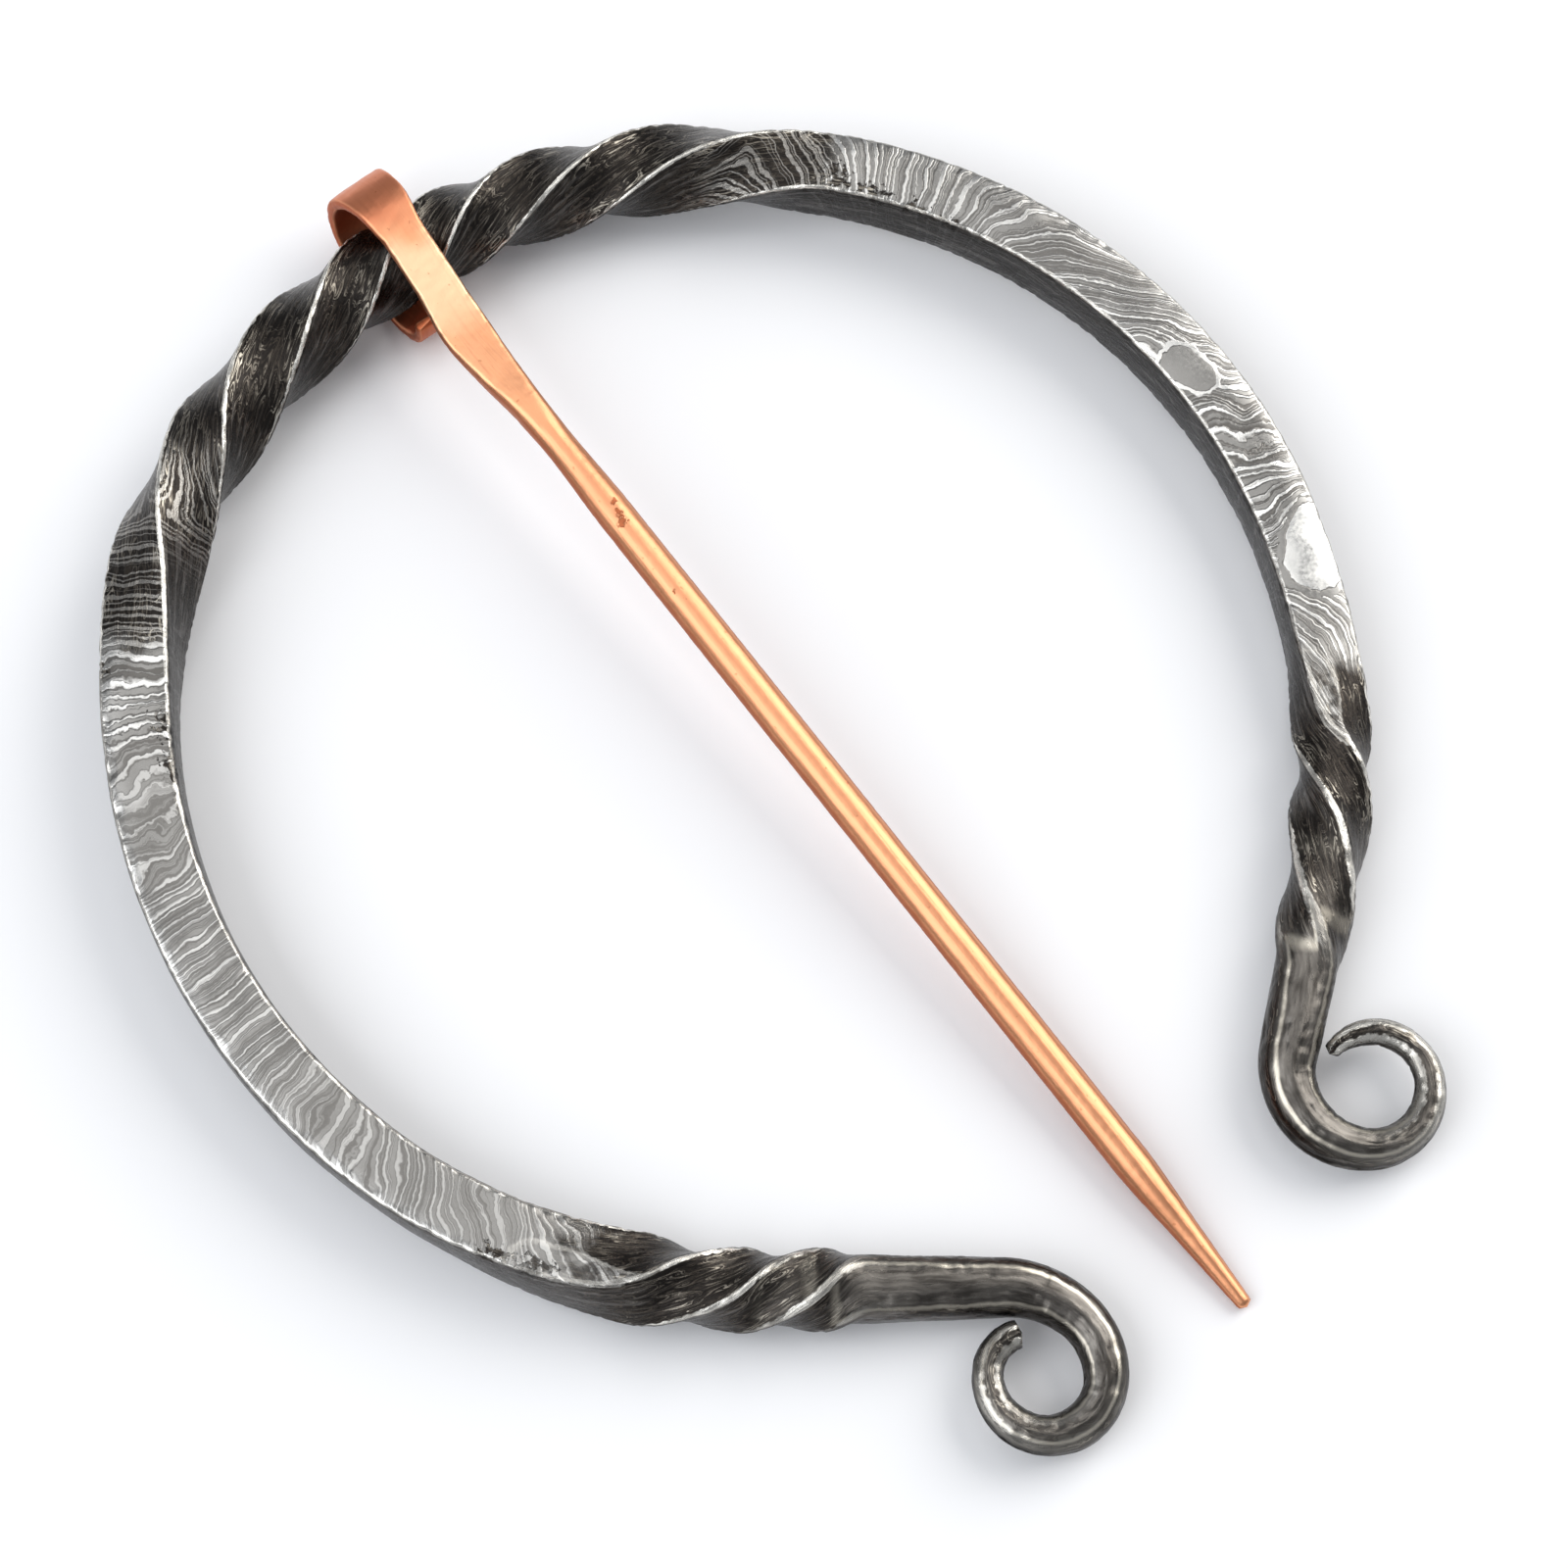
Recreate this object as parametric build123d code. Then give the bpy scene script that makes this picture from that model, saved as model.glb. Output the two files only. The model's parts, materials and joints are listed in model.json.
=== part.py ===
from build123d import *
from collections import namedtuple
from math import asin, atan2, ceil, cos, degrees, hypot, radians, sin, sqrt
import os

# Penannular brooch: an open hoop forged from one square steel bar, and a loose copper pin.
# It lies on a flat surface. X runs to the right, Y away from the viewer and Z up.
# All lengths are in millimetres and all angles in degrees.

# Driving dimensions of the steel hoop
bar = 4.0                    # side of the square bar along its plain stretches
bar_corner = 0.3             # rounding of the bar's edges there
hoop_radius = 37.8           # bend of the bar's middle line along the long left side
seat_heading = 35.7          # way that the bar runs under the pin, from +X towards +Y
foot_length = 10.3           # straight run before the right curl
run_length = 13.1            # straight run before the lower curl
curl_radius = 3.6            # bend of both curls, half way round

# Driving dimensions of the copper pin
pin_heading = -52.0          # way that the pin points, from +X towards +Y
pin_reach = 83.3             # from the bar's middle to the tip
shaft = 2.3                  # diameter of the round shaft
shaft_start = 23.0           # from the bar's middle to where the shaft is fully round
neck_length = 14.3           # from the bar's middle to where the hammered flats run out
neck_waist = 1.85            # diameter of the round metal where the flats run out
tip_taper = 11.0             # length of the tapered point
tip = 0.9                    # diameter of its blunt end
strip = 0.8                  # thickness of the hammered strip
strip_width = 4.0            # width of the strip at the fold of the roll
roll_gap = 0.4               # clearance between the twisted bar and the roll
roll_back = 1.5              # straight part of the roll from the bar towards the fold
roll_front = 1.0             # straight part of the roll from the bar towards its free end
roll_closing = 105.0         # how far the free end turns up again under the shaft
edge_share = 0.3             # rounding of the hammered edges, as a share of the thickness

# Fineness of the lofts
section_turn = 15.0          # the most that one section of the bar turns from the last
section_run = 3.0            # the most that it stands from the last
section_step = 0.05          # step of the search for the next section
section_least = 0.2          # the least run before the bar's end section
roll_turn = 20.0             # the most that one section of the roll turns from the last
neck_sections = 15           # sections of the hammered neck

# The middle line of each arm of the hoop, from the pin outwards. The radius is a share of
# hoop_radius or of curl_radius, and a turn is positive where the bar bends inwards.
# A straight run has no turn, and its radius is its length.
Bend = namedtuple("Bend", "name radius turn")
right_arm = (
    Bend("crown", 0.955 * hoop_radius, 102.7),
    Bend("limb", 1.10 * hoop_radius, 36.3),
    Bend("foot", foot_length, 0.0),
    Bend("curl start", 1.28 * curl_radius, -104.3),
    Bend("curl side", 1.05 * curl_radius, -90.0),
    Bend("curl back", 0.90 * curl_radius, -90.0),
    Bend("curl end", 0.90 * curl_radius, -53.0),
)
left_arm = (
    Bend("haunch", 1.00 * hoop_radius, 28.3),
    Bend("corner", 0.66 * hoop_radius, 16.0),
    Bend("flank", 1.00 * hoop_radius, 101.0),
    Bend("run", run_length, 0.0),
    Bend("curl start", 1.80 * curl_radius, -40.0),
    Bend("curl shoulder", 1.285 * curl_radius, -51.0),
    Bend("curl side", 0.945 * curl_radius, -90.0),
    Bend("curl back", 0.94 * curl_radius, -90.0),
    Bend("curl end", 0.68 * curl_radius, -80.0),
)

# The bar's section along each arm: the place as a share of the arm's length, the side as a
# share of the bar, how far its corners are hammered round, from 0 for bar_corner to 1 for
# round_share, and the left-hand twist since the pin in degrees.
round_share = 0.42           # corner of a rounded end, as a share of its side
corner_up = 45.0             # roll of the section that has a corner at the top
Station = namedtuple("Station", "along side round twist")
right_stations = (
    Station(0.000, 1.06, 0.00, 0.0),
    Station(0.043, 1.06, 0.00, 90.0),
    Station(0.100, 1.06, 0.00, 180.0),
    Station(0.167, 1.06, 0.00, 270.0),
    Station(0.236, 1.02, 0.00, 315.0),
    Station(0.452, 1.01, 0.00, 315.0),
    Station(0.542, 0.97, 0.00, 315.0),
    Station(0.604, 0.94, 0.00, 317.0),
    Station(0.633, 0.92, 0.02, 330.0),
    Station(0.654, 0.91, 0.04, 350.0),
    Station(0.664, 0.92, 0.05, 375.0),
    Station(0.678, 0.93, 0.06, 405.0),
    Station(0.701, 0.95, 0.12, 450.0),
    Station(0.733, 0.93, 0.23, 495.0),
    Station(0.757, 0.90, 0.40, 540.0),
    Station(0.783, 0.89, 0.63, 585.0),
    Station(0.808, 0.86, 0.78, 585.0),
    Station(0.833, 0.80, 0.84, 585.0),
    Station(0.858, 0.72, 0.88, 585.0),
    Station(0.885, 0.61, 0.93, 585.0),
    Station(0.931, 0.46, 0.95, 585.0),
    Station(0.977, 0.38, 0.95, 585.0),
    Station(1.000, 0.24, 0.95, 585.0),
)
left_stations = (
    Station(0.000, 1.06, 0.00, 0.0),
    Station(0.048, 1.05, 0.00, 90.0),
    Station(0.115, 1.07, 0.00, 180.0),
    Station(0.144, 1.07, 0.00, 225.0),
    Station(0.185, 1.09, 0.00, 270.0),
    Station(0.210, 1.08, 0.00, 292.0),
    Station(0.239, 1.07, 0.00, 306.0),
    Station(0.273, 1.05, 0.00, 313.5),
    Station(0.312, 1.03, 0.00, 315.0),
    Station(0.549, 1.01, 0.00, 315.0),
    Station(0.584, 1.01, 0.00, 318.0),
    Station(0.610, 1.01, 0.00, 323.0),
    Station(0.638, 1.01, 0.00, 333.0),
    Station(0.660, 1.00, 0.02, 353.0),
    Station(0.677, 0.98, 0.06, 386.0),
    Station(0.702, 0.94, 0.12, 431.0),
    Station(0.718, 0.94, 0.20, 476.0),
    Station(0.738, 0.96, 0.26, 521.0),
    Station(0.763, 0.93, 0.50, 585.0),
    Station(0.820, 0.84, 0.76, 585.0),
    Station(0.842, 0.77, 0.80, 585.0),
    Station(0.890, 0.63, 0.90, 585.0),
    Station(0.928, 0.58, 0.95, 585.0),
    Station(0.946, 0.54, 0.95, 585.0),
    Station(0.964, 0.48, 0.95, 585.0),
    Station(1.000, 0.41, 0.95, 585.0),
)

# The pin's rolled strip from over the bar round to its free end: the place as a share of
# the roll's length, the widths to the left and right of the shaft's line as shares of
# strip_width, and the thickness as a share of the strip.
Hammered = namedtuple("Hammered", "along left right thick")
roll_stations = (
    Hammered(0.00, 0.48, 0.20, 1.00),
    Hammered(0.12, 0.60, 0.25, 1.00),
    Hammered(0.33, 0.61, 0.40, 1.00),
    Hammered(0.62, 0.50, 0.50, 1.00),
    Hammered(1.00, 0.40, 0.48, 0.85),
)
# The hammered neck from over the bar until it sinks into the round shaft: the place as a
# share of neck_length, and the widths to the left and right and the height as shares of the
# shaft's diameter. It starts as the roll does.
Neck = namedtuple("Neck", "along left right height")
over_bar = roll_stations[0]
over_bar_left = over_bar.left * strip_width / shaft
over_bar_right = over_bar.right * strip_width / shaft
neck_stations = (
    Neck(0.00, over_bar_left, over_bar_right, strip / shaft),
    Neck(0.27, 0.70, 0.50, 0.37),
    Neck(0.55, 0.57, 0.74, 0.44),
    Neck(0.77, 0.47, 0.63, 0.61),
    Neck(1.00, 0.41, 0.46, 0.84),
    Neck(1.26, 0.34, 0.34, 0.66),
)


def run_of(bend):
    return bend.radius if bend.turn == 0 else bend.radius * radians(abs(bend.turn))


def place_on(bends, heading, inward, distance):
    """Point and heading on a chain of tangent bends that starts at the origin."""
    x, y, left = 0.0, 0.0, distance
    for bend in bends:
        run = min(left, run_of(bend))
        if bend.turn == 0:
            x, y = x + run * cos(radians(heading)), y + run * sin(radians(heading))
        else:
            side = inward if bend.turn > 0 else -inward
            turned = heading + side * degrees(run / bend.radius)
            x += side * bend.radius * (sin(radians(turned)) - sin(radians(heading)))
            y -= side * bend.radius * (cos(radians(turned)) - cos(radians(heading)))
            heading = turned
        left -= run
        if left <= 0:
            break
    return x, y, heading


def blend(rows, along, column):
    """Value of a table's column between its rows, smooth and without overshoot."""
    places = [row.along for row in rows]
    values = [getattr(row, column) for row in rows]
    steps = [(b - a) / (q - p) for a, b, p, q in zip(values, values[1:], places, places[1:])]
    slopes = [steps[0]]
    for before, after in zip(steps, steps[1:]):
        same_way = before * after > 0
        slopes.append(2 * before * after / (before + after) if same_way else 0.0)
    slopes.append(steps[-1])
    index = sum(1 for place in places[1:-1] if place <= along)
    width = places[index + 1] - places[index]
    t = min(max((along - places[index]) / width, 0.0), 1.0)
    start, end = values[index], values[index + 1]
    rise = (3 - 2 * t) * t * t
    ease_in = t * (1 - t) ** 2 * width * slopes[index]
    ease_out = t * t * (1 - t) * width * slopes[index + 1]
    return start + rise * (end - start) + ease_in - ease_out


def section_places(length, twist_at, heading_at):
    """Distances along an arm at which its sections stand, close where it twists or curls."""
    places = [0.0]
    for step in range(1, ceil(length / section_step)):
        distance = step * section_step
        last = places[-1]
        turned = abs(twist_at(distance) - twist_at(last))
        bent = abs(heading_at(distance) - heading_at(last))
        if turned >= section_turn or bent >= section_turn or distance - last >= section_run:
            places.append(distance)
    if length - places[-1] < section_least:
        places.pop()
    return places + [length]


Cut = namedtuple("Cut", "x y heading side corner roll")


def arm_cuts(bends, stations, heading, inward):
    """Sections of one arm from the pin outwards, as seen when looking outwards."""
    length = sum(run_of(bend) for bend in bends)

    def twist_at(distance):
        return blend(stations, distance / length, "twist")

    def heading_at(distance):
        return place_on(bends, heading, inward, distance)[2]

    cuts = []
    for distance in section_places(length, twist_at, heading_at):
        x, y, way = place_on(bends, heading, inward, distance)
        side = bar * blend(stations, distance / length, "side")
        rounded = blend(stations, distance / length, "round")
        corner = bar_corner * (1 - rounded) + round_share * side * rounded
        cuts.append(Cut(x, y, way, side, corner, -corner_up - twist_at(distance)))
    return cuts


def lowest(cut):
    """How far a twisted, rounded square reaches below its own middle."""
    flat = cut.side / 2 - cut.corner
    turn = radians(cut.roll)
    return flat * (abs(cos(turn)) + abs(sin(turn))) + cut.corner


def square_face(cut):
    """The bar's section at one place, across its middle line."""
    way = radians(cut.heading)
    across = Plane(
        origin=(cut.x, cut.y, 0),
        x_dir=(-sin(way), cos(way), 0),
        z_dir=(cos(way), sin(way), 0),
    )
    return across * Rot(0, 0, cut.roll) * RectangleRounded(cut.side, cut.side, cut.corner)


def rolled_strip_face(distance, length, bends):
    """The hammered strip's section on the roll, the pin pointing along +X."""
    x, rise, heading = place_on(bends, 180.0, 1, distance)
    share = distance / length
    left = strip_width * blend(roll_stations, share, "left")
    right = strip_width * blend(roll_stations, share, "right")
    thick = strip * blend(roll_stations, share, "thick")
    way = radians(heading)
    across = Plane(
        origin=(x, (left - right) / 2, roll_middle + rise),
        x_dir=(0, 1, 0),
        z_dir=(-cos(way), 0, -sin(way)),
    )
    return across * RectangleRounded(left + right, thick, edge_share * thick)


def along_pin(distance, sideways=0.0):
    """Plane across the pin at a distance from the bar's middle, the pin pointing along +X."""
    return Plane(origin=(distance, sideways, roll_middle), x_dir=(0, 1, 0), z_dir=(1, 0, 0))


def neck_face(along):
    """The hammered neck's section at a share of its length."""
    left = shaft * blend(neck_stations, along, "left")
    right = shaft * blend(neck_stations, along, "right")
    height = shaft * blend(neck_stations, along, "height")
    across = along_pin(along * neck_length, (left - right) / 2)
    return across * RectangleRounded(left + right, height, edge_share * height)


# The hoop, in a plane of its own with the pin's seat at the origin
right_cuts = arm_cuts(right_arm, right_stations, seat_heading, -1)
left_cuts = arm_cuts(left_arm, left_stations, seat_heading + 180.0, 1)
outward_left = [
    Cut(cut.x, cut.y, cut.heading - 180.0, cut.side, cut.corner, -cut.roll) for cut in left_cuts
]
hoop_cuts = outward_left[:0:-1] + right_cuts
hoop = loft([square_face(cut) for cut in hoop_cuts])

# The roll clears the twisted bar all round, and its own height lifts the bar off the surface
seat_cut = right_cuts[0]
roll_inner = (seat_cut.side / 2 - seat_cut.corner) * sqrt(2) + seat_cut.corner + roll_gap
roll_outer = roll_inner + strip
roll_middle = roll_inner + strip / 2

# The pin leans until its tip meets the surface, and the roll rests on it too
tip_run = pin_reach - roll_front
tip_drop = roll_middle - tip / 2
pin_lean = degrees(asin(roll_outer / hypot(tip_run, tip_drop)) + atan2(tip_drop, tip_run))
seat_height = roll_outer + roll_front * sin(radians(pin_lean))

# The hoop leans the same way until the first of its far sections meets the surface
way_x, way_y = cos(radians(pin_heading)), sin(radians(pin_heading))
hoop_lean = min(
    degrees(asin((seat_height - lowest(cut)) / (cut.x * way_x + cut.y * way_y)))
    for cut in hoop_cuts
    if cut.x * way_x + cut.y * way_y > hoop_radius
)
hinge_line = Axis((0, 0, 0), (-way_y, way_x, 0))
hoop = hoop.rotate(hinge_line, hoop_lean)

# The copper pin, made pointing along +X with the bar's middle at the origin
roll_bends = (
    Bend("top", roll_back, 0.0),
    Bend("fold", roll_middle, 180.0),
    Bend("underside", roll_back + roll_front, 0.0),
    Bend("upturned end", roll_middle, roll_closing),
)
roll_length = sum(run_of(bend) for bend in roll_bends)
roll_places = [0.0]
for bend in roll_bends:
    steps = max(ceil(bend.turn / roll_turn), 1)
    start = roll_places[-1]
    roll_places += [start + run_of(bend) * step / steps for step in range(1, steps + 1)]
rolled_end = loft([rolled_strip_face(place, roll_length, roll_bends) for place in roll_places])
neck_end = neck_stations[-1].along
neck = loft([neck_face(neck_end * step / neck_sections) for step in range(neck_sections + 1)])
shaft_length = pin_reach - tip_taper - shaft_start
end_on = (Align.CENTER, Align.CENTER, Align.MIN)
swell = along_pin(neck_length) * Cone(
    neck_waist / 2, shaft / 2, shaft_start - neck_length, align=end_on
)
rod = along_pin(shaft_start) * Cylinder(shaft / 2, shaft_length, align=end_on)
point = along_pin(pin_reach - tip_taper) * Cone(shaft / 2, tip / 2, tip_taper, align=end_on)
pin = rolled_end + neck + swell + rod + point
pin = pin.rotate(Axis.Y, pin_lean).rotate(Axis.Z, pin_heading)

# The whole brooch stands on the surface with its middle over the origin
whole = hoop.bounding_box().add(pin.bounding_box())
settle = Vector(-whole.center().X, -whole.center().Y, -whole.min.Z)
nodes = {"hoop": hoop.moved(Location(settle)), "pin": pin.moved(Location(settle))}

os.makedirs("parts", exist_ok=True)
for name, shape in nodes.items():
    export_step(shape, f"parts/{name}.step")
    size = shape.bounding_box().size
    print(name, "volume", round(shape.volume, 1), "size", [round(v, 2) for v in size])

shaft_middle = Vector(shaft_start + shaft_length / 2, 0, roll_middle).rotate(Axis.Y, pin_lean)
shaft_middle = shaft_middle.rotate(Axis.Z, pin_heading) + settle
shaft_way = Vector(1, 0, 0).rotate(Axis.Y, pin_lean).rotate(Axis.Z, pin_heading)
print("sections", len(hoop_cuts), "pin lean", round(pin_lean, 3), "hoop lean", round(hoop_lean, 3))
print("hinge", [round(v, 4) for v in settle], "axis", round(way_y, 5), round(-way_x, 5), 0)
print("shaft middle", [round(v, 4) for v in shaft_middle], "length", round(shaft_length, 3))
print("shaft way", [round(v, 5) for v in shaft_way])
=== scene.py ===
from collections import namedtuple
from math import asin, cos, degrees, pi, radians, sin, sqrt
import json

import bpy
from mathutils import Matrix, Vector


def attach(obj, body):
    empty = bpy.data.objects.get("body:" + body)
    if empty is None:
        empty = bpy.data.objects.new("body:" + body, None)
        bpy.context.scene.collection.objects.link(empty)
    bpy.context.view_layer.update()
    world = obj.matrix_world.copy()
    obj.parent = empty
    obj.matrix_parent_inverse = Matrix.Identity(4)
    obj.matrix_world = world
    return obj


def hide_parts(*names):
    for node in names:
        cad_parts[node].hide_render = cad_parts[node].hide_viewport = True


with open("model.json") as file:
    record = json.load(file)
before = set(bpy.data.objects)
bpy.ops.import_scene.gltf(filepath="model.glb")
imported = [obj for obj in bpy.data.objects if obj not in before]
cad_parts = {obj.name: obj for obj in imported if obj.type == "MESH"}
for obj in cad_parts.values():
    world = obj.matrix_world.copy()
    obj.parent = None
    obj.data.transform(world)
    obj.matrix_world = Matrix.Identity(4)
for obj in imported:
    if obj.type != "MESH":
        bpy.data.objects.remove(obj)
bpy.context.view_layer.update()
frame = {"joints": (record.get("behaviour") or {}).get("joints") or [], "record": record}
seat = Vector(frame["joints"][0]["pos_m"])


# The hoop: one square bar of pattern-welded steel. The smith twisted it hot in three places,
# drew its ends out round and rolled them into open curls, then ground the plain stretches
# and etched the whole bar, which leaves the two steels bright and grey and the twists black.
bar = 0.0040
bar_corner = 0.0003
round_share = 0.42
hoop_radius = 0.0378
seat_heading = 35.7
foot_length = 0.0103
run_length = 0.0131
curl_radius = 0.0036
bar_step = 0.00023
tip_dome = 0.0003
tip_share = 0.05
seat_turn = -45.0
unground = 0.0100

# The middle line of each arm, from under the pin to the tip of its curl: arcs with their turn
# in degrees, where a turn of 0 means a straight run of that length
Bend = namedtuple("Bend", "name radius turn")
right_arm = (
    Bend("crown", 0.955 * hoop_radius, 102.7),
    Bend("limb", 1.10 * hoop_radius, 36.3),
    Bend("foot", foot_length, 0.0),
    Bend("curl start", 1.28 * curl_radius, -104.3),
    Bend("curl side", 1.05 * curl_radius, -90.0),
    Bend("curl back", 0.90 * curl_radius, -90.0),
    Bend("curl end", 0.90 * curl_radius, -53.0),
)
left_arm = (
    Bend("haunch", 1.00 * hoop_radius, 28.3),
    Bend("corner", 0.66 * hoop_radius, 16.0),
    Bend("flank", 1.00 * hoop_radius, 101.0),
    Bend("run", run_length, 0.0),
    Bend("curl start", 1.80 * curl_radius, -40.0),
    Bend("curl shoulder", 1.285 * curl_radius, -51.0),
    Bend("curl side", 0.945 * curl_radius, -90.0),
    Bend("curl back", 0.94 * curl_radius, -90.0),
    Bend("curl end", 0.68 * curl_radius, -80.0),
)

# The section along each arm: the place as a share of the arm's length, the side as a share
# of the bar, how far the corners are hammered round, and the left-hand twist in degrees
Station = namedtuple("Station", "along side round twist")
right_stations = (
    Station(0.000, 1.06, 0.00, 0.0),
    Station(0.043, 1.06, 0.00, 90.0),
    Station(0.100, 1.06, 0.00, 180.0),
    Station(0.167, 1.06, 0.00, 270.0),
    Station(0.236, 1.02, 0.00, 315.0),
    Station(0.452, 1.01, 0.00, 315.0),
    Station(0.542, 0.97, 0.00, 315.0),
    Station(0.604, 0.94, 0.00, 317.0),
    Station(0.633, 0.92, 0.02, 330.0),
    Station(0.654, 0.91, 0.04, 350.0),
    Station(0.664, 0.92, 0.05, 375.0),
    Station(0.678, 0.93, 0.06, 405.0),
    Station(0.701, 0.95, 0.12, 450.0),
    Station(0.733, 0.93, 0.23, 495.0),
    Station(0.757, 0.90, 0.40, 540.0),
    Station(0.783, 0.89, 0.63, 585.0),
    Station(0.808, 0.86, 0.78, 585.0),
    Station(0.833, 0.80, 0.84, 585.0),
    Station(0.858, 0.72, 0.88, 585.0),
    Station(0.885, 0.61, 0.93, 585.0),
    Station(0.931, 0.46, 0.95, 585.0),
    Station(0.977, 0.38, 0.95, 585.0),
    Station(1.000, 0.24, 0.95, 585.0),
)
left_stations = (
    Station(0.000, 1.06, 0.00, 0.0),
    Station(0.048, 1.05, 0.00, 90.0),
    Station(0.115, 1.07, 0.00, 180.0),
    Station(0.144, 1.07, 0.00, 225.0),
    Station(0.185, 1.09, 0.00, 270.0),
    Station(0.210, 1.08, 0.00, 292.0),
    Station(0.239, 1.07, 0.00, 306.0),
    Station(0.273, 1.05, 0.00, 313.5),
    Station(0.312, 1.03, 0.00, 315.0),
    Station(0.549, 1.01, 0.00, 315.0),
    Station(0.584, 1.01, 0.00, 318.0),
    Station(0.610, 1.01, 0.00, 323.0),
    Station(0.638, 1.01, 0.00, 333.0),
    Station(0.660, 1.00, 0.02, 353.0),
    Station(0.677, 0.98, 0.06, 386.0),
    Station(0.702, 0.94, 0.12, 431.0),
    Station(0.718, 0.94, 0.20, 476.0),
    Station(0.738, 0.96, 0.26, 521.0),
    Station(0.763, 0.93, 0.50, 585.0),
    Station(0.820, 0.84, 0.76, 585.0),
    Station(0.842, 0.77, 0.80, 585.0),
    Station(0.890, 0.63, 0.90, 585.0),
    Station(0.928, 0.58, 0.95, 585.0),
    Station(0.946, 0.54, 0.95, 585.0),
    Station(0.964, 0.48, 0.95, 585.0),
    Station(1.000, 0.41, 0.95, 585.0),
)

# The finish along each arm, by the same shares: the pitch of the etched layers in metres,
# how they slant across the top and how much they swirl, how strongly they show, how black
# the bar is, how deep the hammer's marks are, and how high above the middle line the top
# is ground off, which cuts only the crests next to the plain stretches
Finish = namedtuple("Finish", "along pitch slant swirl contrast black hammer ground")
right_finish = (
    Finish(0.000, 0.00300, 7.0, 0.9, 0.80, 1.00, 0.5, unground),
    Finish(0.150, 0.00250, 6.0, 0.9, 0.80, 1.00, 0.4, unground),
    Finish(0.190, 0.00100, 1.0, 0.6, 0.95, 1.00, 0.3, unground),
    Finish(0.225, 0.00055, 0.6, 0.5, 1.00, 0.70, 0.2, unground),
    Finish(0.245, 0.00050, 0.3, 0.5, 0.62, 0.00, 0.0, unground),
    Finish(0.300, 0.00050, -0.1, 0.5, 0.54, 0.00, 0.0, unground),
    Finish(0.340, 0.00070, -0.7, 0.7, 0.58, 0.00, 0.0, unground),
    Finish(0.390, 0.00085, -2.2, 0.3, 0.85, 0.00, 0.0, unground),
    Finish(0.430, 0.00120, -1.9, 0.5, 0.90, 0.00, 0.0, unground),
    Finish(0.500, 0.00140, -0.5, 0.8, 1.00, 0.00, 0.0, unground),
    Finish(0.540, 0.00070, 0.3, 0.6, 1.00, 0.00, 0.0, unground),
    Finish(0.580, 0.00060, -0.6, 0.5, 0.80, 0.00, 0.0, unground),
    Finish(0.610, 0.00070, -1.2, 0.6, 0.80, 0.20, 0.2, 0.00205),
    Finish(0.640, 0.00200, -4.0, 0.8, 0.70, 0.85, 0.5, 0.00190),
    Finish(0.700, 0.00300, 6.0, 0.9, 0.60, 0.95, 0.7, 0.00350),
    Finish(0.800, 0.00300, 5.0, 0.9, 0.40, 0.90, 0.5, unground),
    Finish(1.000, 0.00300, 5.0, 0.9, 0.20, 0.90, 0.2, unground),
)
left_finish = (
    Finish(0.000, 0.00300, 7.0, 0.9, 0.80, 1.00, 0.5, unground),
    Finish(0.120, 0.00250, 6.0, 0.9, 0.80, 1.00, 0.5, unground),
    Finish(0.165, 0.00070, 1.0, 0.6, 0.90, 1.00, 0.4, unground),
    Finish(0.185, 0.00050, 0.0, 0.5, 1.00, 1.00, 0.3, unground),
    Finish(0.225, 0.00055, 0.0, 0.4, 1.00, 0.85, 0.1, unground),
    Finish(0.248, 0.00070, 0.0, 0.5, 1.00, 0.45, 0.0, unground),
    Finish(0.262, 0.00100, 0.0, 0.2, 1.00, 0.00, 0.0, unground),
    Finish(0.285, 0.00110, 0.0, 0.2, 0.90, 0.00, 0.0, unground),
    Finish(0.310, 0.00150, 0.0, 0.7, 0.35, 0.00, 0.0, unground),
    Finish(0.355, 0.00110, 0.2, 0.6, 0.40, 0.00, 0.0, unground),
    Finish(0.380, 0.00055, 0.2, 0.4, 0.55, 0.00, 0.0, unground),
    Finish(0.450, 0.00048, 0.0, 0.4, 0.50, 0.00, 0.0, unground),
    Finish(0.480, 0.00080, 0.3, 0.8, 0.28, 0.00, 0.0, unground),
    Finish(0.550, 0.00065, 0.6, 0.9, 0.30, 0.00, 0.0, unground),
    Finish(0.600, 0.00080, 0.6, 0.9, 0.25, 0.05, 0.0, 0.00215),
    Finish(0.630, 0.00100, 1.0, 0.8, 0.60, 0.60, 0.2, 0.00205),
    Finish(0.670, 0.00250, 5.0, 0.9, 0.60, 0.90, 0.5, 0.00300),
    Finish(0.750, 0.00300, 6.0, 0.9, 0.50, 0.95, 0.7, unground),
    Finish(0.850, 0.00300, 5.0, 0.9, 0.40, 0.90, 0.4, unground),
    Finish(1.000, 0.00300, 5.0, 0.9, 0.20, 0.90, 0.2, unground),
)


def run_of(bend):
    return bend.radius if bend.turn == 0 else bend.radius * radians(abs(bend.turn))


def length_of(bends):
    return sum(run_of(bend) for bend in bends)


def place_on(bends, heading, inward, distance):
    """Point and heading on a chain of tangent bends that starts at the origin."""
    x, y, left = 0.0, 0.0, distance
    for bend in bends:
        run = min(left, run_of(bend))
        if bend.turn == 0:
            x, y = x + run * cos(radians(heading)), y + run * sin(radians(heading))
        else:
            side = inward if bend.turn > 0 else -inward
            turned = heading + side * degrees(run / bend.radius)
            x += side * bend.radius * (sin(radians(turned)) - sin(radians(heading)))
            y -= side * bend.radius * (cos(radians(turned)) - cos(radians(heading)))
            heading = turned
        left -= run
        if left <= 0:
            break
    return x, y, heading


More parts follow.
